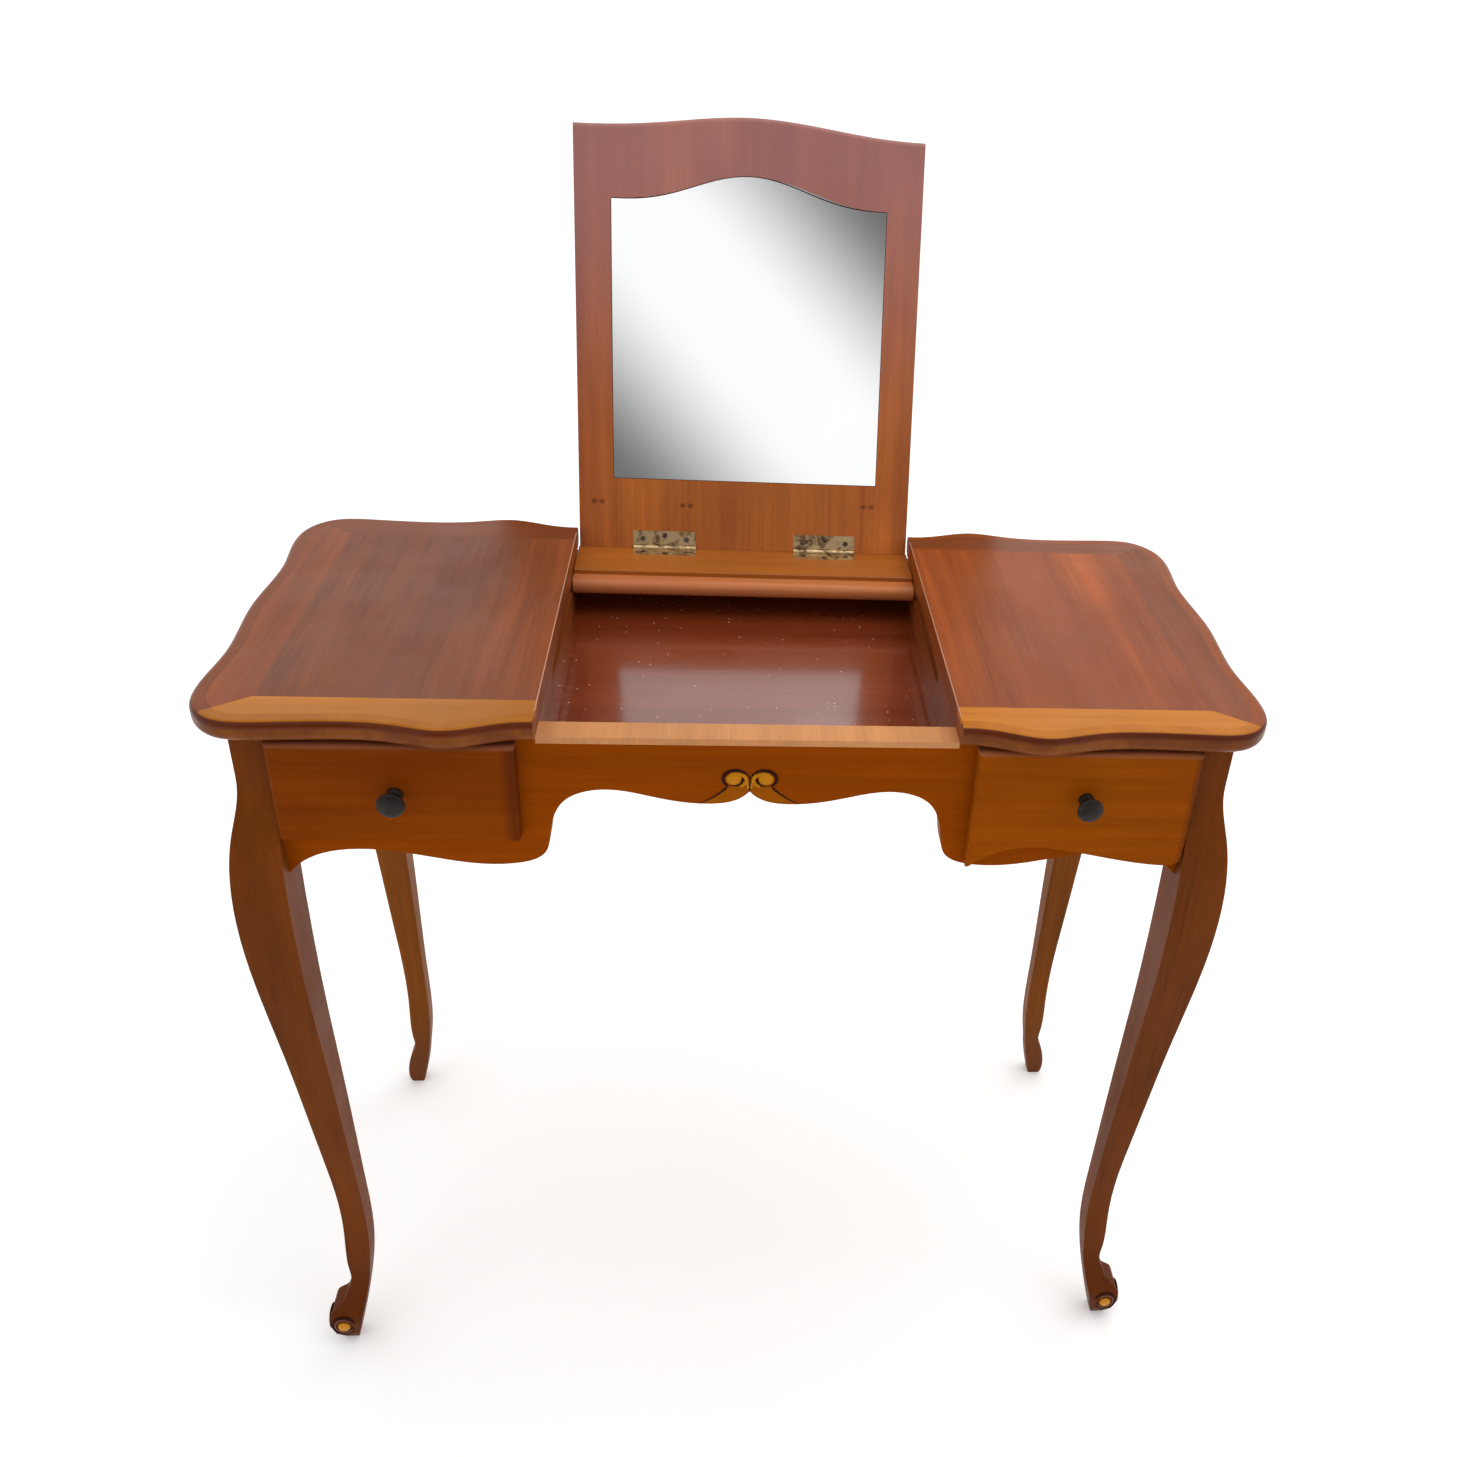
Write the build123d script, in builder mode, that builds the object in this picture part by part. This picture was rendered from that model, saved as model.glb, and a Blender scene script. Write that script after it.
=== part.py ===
from build123d import *
import math
import os

# A Louis XV style dressing table: two fixed leaves with a drawer under each, and between
# them an open well whose lid carries a mirror on its inner face. The lid hinges on a small
# carriage that runs forward in grooves in the walls of the well.

os.makedirs("parts", exist_ok=True)

# ---- driving dimensions, millimetres and degrees ----
height = 750.0            # floor to the top of the leaves
top_thick = 19.0          # leaves and lid
case_half_x = 404.0       # outer faces of the side aprons
case_half_y = 190.0       # outer faces of the front and back aprons
post = 29.0               # square post at the head of each leg
board = 20.0              # apron thickness
half_gap = 169.8          # half the width of the well
wall = 16.2               # walls of the well
band_y = 165.0            # where the cross bands meet the field of a leaf
band_x = 387.0
band_thick = 5.0
edge_wide = 13.0          # moulded edge of a leaf, seen from above
tray_top = 689.0
tray_thick = 6.0
lean = 15.0               # lid, back from upright
hinge_back = 194.0        # hinge line behind the plan centre
lid_half = 168.1
lid_corner = 398.3        # hinge line to the front corners of the lid
lid_apex = 411.5          # and to the crown of its bow
front_proud = 12.0        # drawer fronts stand out from the apron
knob_reach = 20.0
carriage_travel = 175.0
glide = 0.2               # clearance between faces that slide past each other

under = height - top_thick
lean_sin = math.sin(math.radians(lean))
lean_cos = math.cos(math.radians(lean))
# How far back the rounded rear edge of the open lid reaches.
lid_round = 4.0
lid_rear = (hinge_back + lid_apex * lean_sin + top_thick * lean_cos
            - lid_round * (lean_sin + lean_cos - 1))
front_reach = case_half_y + front_proud + knob_reach
# The origin is under the middle of the whole object with its lid open.
mid_y = (front_reach - lid_rear) / 2


def level(z):
    """A horizontal plane over the table's plan centre."""
    return Plane(origin=(0, mid_y, z))


def upright(y):
    """A plane across the table; it extrudes towards the front."""
    return Plane(origin=(0, mid_y + y, 0), x_dir=(1, 0, 0), z_dir=(0, -1, 0))


def sideways(x):
    """A plane along the table's depth; it extrudes towards +X."""
    return Plane(origin=(x, mid_y, 0), x_dir=(0, 1, 0), z_dir=(1, 0, 0))


# The hinge line, seen from the lid (y up the lid, z out of its mirror side)
# and from the carriage (y to the back, z up).
hinge_point = (0, mid_y + hinge_back, under)
lid_plane = Plane(origin=hinge_point, x_dir=(1, 0, 0), z_dir=(0, -lean_cos, lean_sin))
ledge_plane = Plane(origin=hinge_point, x_dir=(1, 0, 0), z_dir=(0, 0, 1))


def save(piece, name):
    piece.label = name
    export_step(piece, f"parts/{name}.step")
    box = piece.bounding_box()
    extents.append((box.min, box.max))


extents = []

# ---- legs ----
# Outer and inner lines of a cabriole leg: (outwards from the case, height).
# The same pair shapes the front view and the side view.
leg_outer = [(-1, 690), (8, 640), (15.6, 558), (12.4, 488), (4, 395), (-6, 268), (-11.4, 145),
             (-10, 90), (-6.5, 62)]
scroll_toe = [(-6.5, 62), (-1, 51), (7, 46.5), (11.5, 34), (8.5, 14), (2, 0)]
plain_toe = [(-6.5, 62), (1.5, 38), (5, 18), (3.5, 0)]
leg_round = 2.5
leg_inner = [(-12, 0), (-22, 42), (-33, 112), (-34, 196), (-31.5, 336), (-29, 450),
             (-28.5, 520), (-post, 598)]


def make_leg(toe, softened):
    """A front right leg; the others are its mirror images."""
    with BuildPart() as leg:
        views = ((upright(0), 1, case_half_x, Mode.ADD),
                 (sideways(0), -1, case_half_y, Mode.INTERSECT))
        for plane, sign, face, mode in views:
            with BuildSketch(plane):
                with BuildLine():
                    outer = Spline(*[(sign * (face + u), z) for u, z in leg_outer],
                                   tangents=[(0, -1), (0.5 * sign, -1)])
                    foot = Spline(*[(sign * (face + u), z) for u, z in toe],
                                  tangents=[(0.5 * sign, -1), (-0.5 * sign, -1)])
                    inner = Spline(*[(sign * (face + u), z) for u, z in leg_inner])
                    Line(foot @ 1, inner @ 0)
                    Polyline(inner @ 1, (sign * (face - post), under), (sign * (face - 1), under), outer @ 0)
                make_face()
            extrude(amount=500, both=True, mode=mode)
        if softened:
            fillet([edge for edge in leg.edges() if edge.length > 300], leg_round)
    return leg.part


middle_plane = Plane(origin=(0, mid_y, 0), x_dir=(1, 0, 0), z_dir=(0, 1, 0))
scrolled_leg = make_leg(scroll_toe, False)
plain_leg = mirror(make_leg(plain_toe, True), about=middle_plane)
save(mirror(scrolled_leg, about=Plane.YZ), "leg_front_left")
save(scrolled_leg, "leg_front_right")
save(mirror(plain_leg, about=Plane.YZ), "leg_rear_left")
save(plain_leg, "leg_rear_right")

# ---- aprons ----
inner_x = case_half_x - post
inner_y = case_half_y - post
opening_x = (187.0, 370.0)
opening_z = (642.0, 724.0)
opening_mid = (sum(opening_x) / 2, sum(opening_z) / 2)
opening_wide = opening_x[1] - opening_x[0]
opening_high = opening_z[1] - opening_z[0]
cap_thick = 6.0
# Lower edge of the front, from the little cusp at the centre to the leg.
front_edge = [(0, 681.5), (11, 673), (30, 669.2), (75, 674.5), (120, 682), (150, 671), (161.5, 645),
              (168, 619), (197, 608), (255, 613.5), (312, 622.3), (354, 615), (inner_x, 598)]

with BuildPart() as apron_front:
    with BuildSketch(upright(board - case_half_y)):
        with BuildLine():
            right = Spline(*front_edge)
            left = Spline(*[(-x, z) for x, z in front_edge])
            Polyline(left @ 1, (-inner_x, under), (inner_x, under), right @ 1)
        make_face()
        with Locations((-opening_mid[0], opening_mid[1]), opening_mid):
            Rectangle(opening_wide, opening_high, mode=Mode.SUBTRACT)
        with Locations((0, under - cap_thick / 2)):
            Rectangle(2 * half_gap, cap_thick, mode=Mode.SUBTRACT)
    extrude(amount=board)
save(apron_front.part, "apron_front")

# A pale strip finishes the top of the front rail where the lid closes on it.
cap_deep = 25.0
with BuildPart() as rail_cap:
    with BuildSketch(level(under - cap_thick)):
        with Locations((0, cap_deep / 2 - case_half_y)):
            Rectangle(2 * half_gap, cap_deep)
    extrude(amount=cap_thick - glide)
save(rail_cap.part, "rail_cap")

# The back apron is cut down behind the well, so that the carriage passes over it.
carriage_low = 711.0
tongue = 5.0
with BuildPart() as apron_back:
    with BuildSketch(upright(case_half_y)):
        with BuildLine():
            right = Spline((330, 640), (358, 622), (inner_x, 598))
            left = Spline((-330, 640), (-358, 622), (-inner_x, 598))
            Line(left @ 0, right @ 0)
            Polyline(left @ 1, (-inner_x, under), (inner_x, under), right @ 1)
        make_face()
        with Locations((0, under)):
            Rectangle(2 * (half_gap + tongue + 1.2), 2 * (under - carriage_low + 1.5), mode=Mode.SUBTRACT)
    extrude(amount=board)
save(apron_back.part, "apron_back")


def make_side_apron(name, side):
    edge = [(-inner_y, 598), (-140, 613), (-92, 622), (0, 613), (92, 622), (140, 613), (inner_y, 598)]
    with BuildPart() as apron:
        with BuildSketch(sideways(side * (case_half_x - board / 2))):
            with BuildLine():
                lower = Spline(*edge)
                Polyline(lower @ 1, (inner_y, under), (-inner_y, under), lower @ 0)
            make_face()
        extrude(amount=board / 2, both=True)
    save(apron.part, name)


make_side_apron("apron_left", -1)
make_side_apron("apron_right", 1)

# ---- well ----
well_y = case_half_y - board
groove_high = 10.8
groove_mid = 719.0
carriage_front = 118.0
groove_end = carriage_front - carriage_travel - 4


def make_well_wall(name, side):
    with BuildPart() as well_wall:
        with BuildSketch(level(618)):
            with Locations((side * (half_gap + wall / 2), 0)):
                Rectangle(wall, 2 * well_y)
        extrude(amount=under - 618)
        # The groove is open at the back and stops with a round end at the front.
        with BuildSketch(sideways(side * half_gap)):
            with Locations(((well_y + groove_end + groove_high / 2) / 2, groove_mid)):
                Rectangle(well_y - groove_end - groove_high / 2, groove_high)
            with Locations((groove_end + groove_high / 2, groove_mid)):
                Circle(groove_high / 2)
        extrude(amount=side * (tongue + 0.6), mode=Mode.SUBTRACT)
    save(well_wall.part, name)


make_well_wall("well_wall_left", -1)
make_well_wall("well_wall_right", 1)

with BuildPart() as tray_floor:
    with BuildSketch(level(tray_top - tray_thick)):
        Rectangle(2 * half_gap, 2 * well_y)
    extrude(amount=tray_thick)
save(tray_floor.part, "tray_floor")

# Glue blocks hold the tray to the walls from below.
block = 14.0
with BuildPart() as tray_blocks:
    with BuildSketch(level(tray_top - tray_thick - block)):
        with GridLocations(2 * half_gap - block, 190, 2, 2):
            Rectangle(block, 60)
    extrude(amount=block)
    chamfer(tray_blocks.edges().group_by(Axis.Z)[0].filter_by(Axis.Y), 4)
save(tray_blocks.part, "tray_blocks")

# ---- drawer compartments ----
dust_thick = 7.0
dust_inner = half_gap + wall
dust_outer = case_half_x - board


def make_compartment(suffix, side):
    with BuildPart() as dust_board:
        with BuildSketch(level(opening_z[0] - dust_thick)):
            with Locations((side * (dust_inner + inner_x) / 2, 0)):
                Rectangle(inner_x - dust_inner, 2 * well_y)
            with Locations((side * (inner_x + dust_outer) / 2, 0)):
                Rectangle(dust_outer - inner_x, 2 * inner_y)
        extrude(amount=dust_thick)
    save(dust_board.part, f"dust_board_{suffix}")
    with BuildPart() as guide:
        with BuildSketch(level(opening_z[0])):
            with Locations((side * (opening_x[1] + dust_outer) / 2, 0)):
                Rectangle(dust_outer - opening_x[1], 2 * inner_y)
        extrude(amount=14)
    save(guide.part, f"drawer_guide_{suffix}")


make_compartment("left", -1)
make_compartment("right", 1)

# ---- leaves ----
# One quarter of a leaf's outline, from the well round to the middle of the side.
leaf_quarter = [(half_gap, 200.5), (198, 204.5), (236, 215.5), (276, 207.5), (322, 203.5), (372, 206),
                (411, 201.5), (430.5, 179), (435.8, 150), (431.5, 92), (435.5, 0)]


def leaf_points(side, inset):
    """The serpentine outline from the front of the well round to its back, moved inwards."""
    whole = [(x, -y) for x, y in leaf_quarter] + [(x, y) for x, y in reversed(leaf_quarter[:-1])]
    points = []
    for before, here, after in zip(whole[:1] + whole, whole, whole[1:] + whole[-1:]):
        run = Vector(*after) - Vector(*before)
        inward = Vector(-run.Y, run.X).normalized() * inset
        points.append((side * (here[0] + inward.X), here[1] + inward.Y))
    points[0] = (side * half_gap, points[0][1])
    points[-1] = (side * half_gap, points[-1][1])
    return points


def make_leaf(suffix, side):
    with BuildPart() as edge:
        with BuildSketch(level(under)):
            with BuildLine():
                rim = Spline(*leaf_points(side, 0))
                Line(rim @ 1, rim @ 0)
            make_face()
        extrude(amount=top_thick)
        rims = edge.edges().filter_by(GeomType.BSPLINE).group_by(Axis.Z)
        fillet(rims[-1], 5)
        rims = edge.edges().filter_by(GeomType.BSPLINE).group_by(Axis.Z)
        fillet(rims[0], 8)
        with BuildSketch(level(under)):
            with BuildLine():
                rim = Spline(*leaf_points(side, edge_wide))
                Line(rim @ 1, rim @ 0)
            make_face()
        extrude(amount=top_thick, mode=Mode.SUBTRACT)
    save(edge.part, f"leaf_edge_{suffix}")

    # The core is lower at the border, where the cross bands are laid.
    with BuildPart() as core:
        with BuildSketch(level(under)):
            with BuildLine():
                rim = Spline(*leaf_points(side, edge_wide))
                Line(rim @ 1, rim @ 0)
            make_face()
        extrude(amount=top_thick - band_thick)
        with BuildSketch(level(height - band_thick)):
            with Locations((side * (half_gap + band_x) / 2, 0)):
                Rectangle(band_x - half_gap, 2 * band_y)
        extrude(amount=band_thick)
    save(core.part, f"leaf_{suffix}")

    # Three bands, mitred where they meet at the outer corners.
    mitre = (band_x + 60, band_y + 45)
    front = [(half_gap, -band_y), (band_x, -band_y), (mitre[0], -mitre[1]), (half_gap, -260)]
    outer = [(band_x, -band_y), (mitre[0], -mitre[1]), (mitre[0], mitre[1]), (band_x, band_y)]
    back = [(x, -y) for x, y in front]
    for place, corners in (("front", front), ("side", outer), ("back", back)):
        with BuildPart() as band:
            with BuildSketch(level(height - band_thick)):
                with BuildLine():
                    rim = Spline(*leaf_points(side, edge_wide))
                    Line(rim @ 1, rim @ 0)
                make_face()
            extrude(amount=band_thick)
            with BuildSketch(level(height - band_thick)):
                with BuildLine():
                    Polyline(*[(side * x, y) for x, y in corners], close=True)
                make_face()
            extrude(amount=band_thick, mode=Mode.INTERSECT)
        save(band.part, f"band_{place}_{suffix}")


make_leaf("left", -1)
make_leaf("right", 1)

# ---- hinges ----
hinge_mid = 82.2
hinge_long = 63.5
hinge_wide = 17.5
plate_thick = 2.0
knuckle_r = 3.0
pin_r = 1.5
pitch = hinge_long / 5
trough_r = knuckle_r + 0.4
screw_spots = [(-22.0, 9.0), (0.0, 12.8), (22.0, 9.0)]
screw_r = 1.4
screw_head_r = 2.9
screw_head = 1.5
screw_long = 11.0
all_spots = [(side * hinge_mid + x, y) for side in (-1, 1) for x, y in screw_spots]


def make_hinge_plate(name, plane, way, side, own, other, bore):
    """A hinge leaf; way is +1 up the lid, -1 forward on the ledge."""
    middle = side * hinge_mid
    with BuildPart(plane) as plate:
        with Locations((middle, way * hinge_wide / 2, -glide - plate_thick / 2)):
            Box(hinge_long, hinge_wide, plate_thick)
        with Locations(*[(middle + pitch * i, 0, -plate_thick) for i in other]):
            Box(pitch + glide, 2 * trough_r, 3 * plate_thick, mode=Mode.SUBTRACT)
        with Locations(*[Location((middle + pitch * i, 0, 0), (0, 90, 0)) for i in own]):
            Cylinder(knuckle_r, pitch - glide)
        with Locations(Location((middle, 0, 0), (0, 90, 0))):
            Cylinder(bore, hinge_long, mode=Mode.SUBTRACT)
        with Locations(*[(middle + x, way * y, -glide - plate_thick / 2) for x, y in screw_spots]):
            Cylinder(screw_r, plate_thick, mode=Mode.SUBTRACT)
        with Locations(*[(middle + x, way * y, -glide - screw_head / 2) for x, y in screw_spots]):
            Cone(screw_r, screw_head_r, screw_head, mode=Mode.SUBTRACT)
    save(plate.part, name)


def make_hinge_screws(name, plane, way):
    with BuildPart(plane) as screws:
        with Locations(*[(x, way * y, -glide - screw_head / 2) for x, y in all_spots]):
            Cone(screw_r, screw_head_r, screw_head)
        with Locations(*[(x, way * y, -glide - screw_head - screw_long / 2) for x, y in all_spots]):
            Cylinder(screw_r, screw_long)
        with Locations(*[Location((x, way * y, -glide), (0, 0, 35 * x)) for x, y in all_spots]):
            Box(2 * screw_head_r, 0.7, 1.2, mode=Mode.SUBTRACT)
    save(screws.part, name)


for suffix, side in (("left", -1), ("right", 1)):
    make_hinge_plate(f"hinge_lower_{suffix}", ledge_plane, -1, side, (-2, 0, 2), (-1, 1), pin_r)
    make_hinge_plate(f"hinge_upper_{suffix}", lid_plane, 1, side, (-1, 1), (-2, 0, 2), pin_r + 0.05)
    with BuildPart(ledge_plane) as hinge_pin:
        with Locations(Location((side * hinge_mid, 0, 0), (0, 90, 0))):
            Cylinder(pin_r, hinge_long)
    save(hinge_pin.part, f"hinge_pin_{suffix}")
make_hinge_screws("hinge_screws_lower", ledge_plane, -1)
make_hinge_screws("hinge_screws_upper", lid_plane, 1)

# ---- carriage ----
carriage_back = 200.0
ledge_front = 136.0
ledge_low = 726.0
nose_r = 7.0

# The board has a rounded nose and runs on two tongues in the grooves of the well.
with BuildPart() as carriage_board:
    with BuildSketch(sideways(0)):
        with Locations(((carriage_front + carriage_back) / 2, (carriage_low + ledge_low) / 2)):
            Rectangle(carriage_back - carriage_front, ledge_low - carriage_low)
    extrude(amount=half_gap - 0.8, both=True)
    nose = carriage_board.edges().filter_by(Axis.X).group_by(Axis.Y)[0]
    fillet(nose, nose_r)
    with BuildSketch(sideways(0)):
        with Locations(((carriage_front + nose_r + carriage_back) / 2, groove_mid)):
            Rectangle(carriage_back - carriage_front - nose_r, groove_high - 2 * glide)
    extrude(amount=half_gap + tongue, both=True)
    with Locations(*[(x, mid_y + hinge_back - y, ledge_low) for x, y in all_spots]):
        Cylinder(screw_r, 2 * (ledge_low - under + glide + screw_head + screw_long), mode=Mode.SUBTRACT)
save(carriage_board.part, "carriage_board")

with BuildPart() as hinge_ledge:
    with BuildSketch(sideways(0)):
        with BuildLine():
            # The back is bevelled to the slope of the open lid's lower edge, which rests there.
            bevel = (carriage_back, under - glide - (carriage_back - hinge_back) * math.tan(math.radians(lean)))
            Polyline((ledge_front, ledge_low), (carriage_back, ledge_low), bevel,
                     (hinge_back, under - glide), (ledge_front, under - glide), close=True)
        make_face()
    extrude(amount=half_gap - 0.8, both=True)
    chamfer(hinge_ledge.edges().filter_by(Axis.X).group_by(Axis.Y)[0].sort_by(Axis.Z)[-1], 1)
    with Locations(*[(s * hinge_mid, mid_y + hinge_back - hinge_wide / 2, under) for s in (-1, 1)]):
        Box(hinge_long, hinge_wide, 2 * (glide + plate_thick), mode=Mode.SUBTRACT)
    with Locations(*[Location((s * hinge_mid, mid_y + hinge_back, under), (0, 90, 0)) for s in (-1, 1)]):
        Cylinder(trough_r, hinge_long, mode=Mode.SUBTRACT)
    with Locations(*[(x, mid_y + hinge_back - y, ledge_low) for x, y in all_spots]):
        Cylinder(screw_r, 2 * top_thick, mode=Mode.SUBTRACT)
save(hinge_ledge.part, "hinge_ledge")

# ---- lid ----
# Drawn on the mirror side: across, and up from the hinge line.
lid_bow = [(-lid_half, lid_corner), (-92, 402.5), (0, lid_apex), (92, 403.5), (lid_half, lid_corner)]
mirror_half = 133.5
mirror_low = 69.7
mirror_bow = [(-mirror_half, 333.7), (-70, 342.5), (0, 359.2), (70, 344), (mirror_half, 333.7)]
mirror_thick = 4.0
mirror_sunk = 0.3
lid_band_front = hinge_back + band_y
lid_band_rear = hinge_back - band_y
level_ends = [(1, 0), (1, 0)]
outer_face = -top_thick

with BuildPart() as lid_panel:
    with BuildSketch(lid_plane):
        with BuildLine():
            bow = Spline(*lid_bow, tangents=level_ends)
            Polyline(bow @ 1, (lid_half, 0), (-lid_half, 0), bow @ 0)
        make_face()
    extrude(amount=outer_face)
    fillet(lid_panel.edges().filter_by(GeomType.BSPLINE), lid_round)
    with BuildSketch(lid_plane):
        with BuildLine():
            bow = Spline(*mirror_bow, tangents=level_ends)
            Polyline(bow @ 1, (mirror_half, mirror_low), (-mirror_half, mirror_low), bow @ 0)
        make_face()
    extrude(amount=-mirror_thick - mirror_sunk, mode=Mode.SUBTRACT)
    # Rebates for the cross bands on the outside.
    with BuildSketch(lid_plane.offset(outer_face)):
        with BuildLine():
            bow = Spline(*[(x, y - edge_wide) for x, y in lid_bow], tangents=level_ends)
            Polyline(bow @ 1, (lid_half, lid_band_front), (-lid_half, lid_band_front), bow @ 0)
        make_face()
        with Locations((0, lid_band_rear / 2)):
            Rectangle(2 * lid_half, lid_band_rear)
    extrude(amount=band_thick, mode=Mode.SUBTRACT)
with BuildPart(lid_plane) as lid_fittings:
    with Locations(*[(s * hinge_mid, hinge_wide / 2, 0) for s in (-1, 1)]):
        Box(hinge_long, hinge_wide, 2 * (glide + plate_thick))
    with Locations(*[Location((s * hinge_mid, 0, 0), (0, 90, 0)) for s in (-1, 1)]):
        Cylinder(trough_r, hinge_long)
    with Locations(*[(x, y, 0) for x, y in all_spots]):
        Cylinder(screw_r, 2 * (glide + screw_head + screw_long))
save(lid_panel.part - lid_fittings.part, "lid_panel")

with BuildPart() as lid_band_front_piece:
    with BuildSketch(lid_plane.offset(outer_face)):
        with BuildLine():
            bow = Spline(*[(x, y - edge_wide) for x, y in lid_bow], tangents=level_ends)
            Polyline(bow @ 1, (lid_half, lid_band_front), (-lid_half, lid_band_front), bow @ 0)
        make_face()
    extrude(amount=band_thick)
save(lid_band_front_piece.part, "lid_band_front")

with BuildPart() as lid_band_rear_piece:
    with BuildSketch(lid_plane.offset(outer_face)):
        with Locations((0, lid_band_rear / 2)):
            Rectangle(2 * lid_half, lid_band_rear)
    extrude(amount=band_thick)
save(lid_band_rear_piece.part, "lid_band_rear")

with BuildPart() as mirror_glass:
    with BuildSketch(lid_plane.offset(-mirror_sunk)):
        with BuildLine():
            bow = Spline(*mirror_bow, tangents=level_ends)
            Polyline(bow @ 1, (mirror_half, mirror_low), (-mirror_half, mirror_low), bow @ 0)
        make_face()
    extrude(amount=-mirror_thick)
save(mirror_glass.part, "mirror_glass")

# ---- drawers ----
front_x = (185.0, 374.4)
front_z = (639.5, 728.0)
front_mid = (sum(front_x) / 2, sum(front_z) / 2)
drawer_gap = 0.6
drawer_back = 150.0
side_thick = 10.0
back_thick = 9.0
bottom_thick = 5.0
sub_front = 9.0
drawer_low = opening_z[0] + 0.3
drawer_high = opening_z[1] - 4
bottom_low = drawer_low + 5
shaped_edge = [(front_x[0], 612.5), (211, 629.5), (240, 635), (282, 629.5), (322, 621.2), (362, 616.5)]


def make_drawer(suffix, side, shaped):
    centre = side * opening_mid[0]
    half = opening_wide / 2 - drawer_gap
    inside = 2 * (half - side_thick)
    knob_x = side * front_mid[0]
    with BuildPart() as front:
        with BuildSketch(upright(-case_half_y - glide)):
            with BuildLine():
                if shaped:
                    lower = Spline(*[(side * x, z) for x, z in shaped_edge])
                    corner = RadiusArc(lower @ 1, (side * front_x[1], 628), -side * 13)
                    Polyline(corner @ 1, (side * front_x[1], front_z[1]), (side * front_x[0], front_z[1]), lower @ 0)
                else:
                    Polyline((side * front_x[0], front_z[0]), (side * front_x[1], front_z[0]),
                             (side * front_x[1], front_z[1]), (side * front_x[0], front_z[1]), close=True)
            make_face()
        extrude(amount=front_proud - glide)
        # Only the straight edges are rounded; the shaped lower edge is square.
        rim = front.faces().sort_by(Axis.Y)[0].edges()
        fillet(rim.filter_by(GeomType.LINE).sort_by(Axis.Z)[1:] if not shaped else rim.filter_by(GeomType.LINE), 4.5)
        # The part of the front that goes into the opening.
        with BuildSketch(upright(-case_half_y + sub_front)):
            with Locations((centre, (drawer_low + drawer_high) / 2)):
                Rectangle(2 * half, drawer_high - drawer_low)
        extrude(amount=sub_front + glide)
        with Locations(Location((knob_x, mid_y - case_half_y, front_mid[1]), (90, 0, 0))):
            Cylinder(2.0, 4 * sub_front, mode=Mode.SUBTRACT)
    save(front.part, f"drawer_front_{suffix}")

    side_front = -case_half_y + sub_front
    for place, way in (("inner", -1), ("outer", 1)):
        with BuildPart() as drawer_side:
            with BuildSketch(level(drawer_low)):
                with Locations((centre + side * way * (half - side_thick / 2), (side_front + drawer_back) / 2)):
                    Rectangle(side_thick, drawer_back - side_front)
            extrude(amount=drawer_high - drawer_low)
        save(drawer_side.part, f"drawer_side_{place}_{suffix}")
    with BuildPart() as back:
        with BuildSketch(level(drawer_low)):
            with Locations((centre, drawer_back - back_thick / 2)):
                Rectangle(inside, back_thick)
        extrude(amount=drawer_high - drawer_low - 6)
    save(back.part, f"drawer_back_{suffix}")
    with BuildPart() as bottom:
        with BuildSketch(level(bottom_low)):
            with Locations((centre, (side_front + drawer_back - back_thick) / 2)):
                Rectangle(inside, drawer_back - back_thick - side_front)
        extrude(amount=bottom_thick)
    save(bottom.part, f"drawer_bottom_{suffix}")

    # A mushroom knob, turned about the drawer's own direction, and its screw from inside.
    face_y = -case_half_y - front_proud
    with BuildPart() as knob:
        with BuildSketch(Plane(origin=(knob_x, mid_y + face_y, front_mid[1]), x_dir=(0, 0, 1), z_dir=(1, 0, 0))):
            with BuildLine():
                stem = Polyline((0, 0), (6.5, 0), (6.0, 2.0))
                neck = Spline(stem @ 1, (4.2, 8.0), (5.5, 12.0))
                rim = Spline(neck @ 1, (10.2, 14.2), (11.0, 16.0), (9.8, 18.2))
                crown = Spline(rim @ 1, (5.5, 19.6), (0, knob_reach), tangents=[(-1, 0.6), (-1, 0)])
                Line(crown @ 1, stem @ 0)
            make_face()
        revolve(axis=Axis((knob_x, mid_y, front_mid[1]), (0, -1, 0)))
        with Locations(Location((knob_x, mid_y + face_y, front_mid[1]), (90, 0, 0))):
            Cylinder(2.0, 16, mode=Mode.SUBTRACT)
    save(knob.part, f"knob_{suffix}")
    with BuildPart() as knob_screw:
        shank = front_proud + sub_front + 8
        with Locations(Location((knob_x, mid_y + side_front - shank / 2, front_mid[1]), (90, 0, 0))):
            Cylinder(2.0, shank)
        with Locations(Location((knob_x, mid_y + side_front + 1.25, front_mid[1]), (90, 0, 0))):
            Cylinder(4.0, 2.5)
        with Locations((knob_x, mid_y + side_front + 2.5, front_mid[1])):
            Box(8, 2, 0.8, mode=Mode.SUBTRACT)
    save(knob_screw.part, f"knob_screw_{suffix}")


make_drawer("left", -1, False)
make_drawer("right", 1, True)

for axis in "XYZ":
    low = min(getattr(box[0], axis) for box in extents)
    high = max(getattr(box[1], axis) for box in extents)
    print(axis, round(low, 2), round(high, 2))
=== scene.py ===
import math

import bpy
from mathutils import Matrix, Vector


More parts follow.
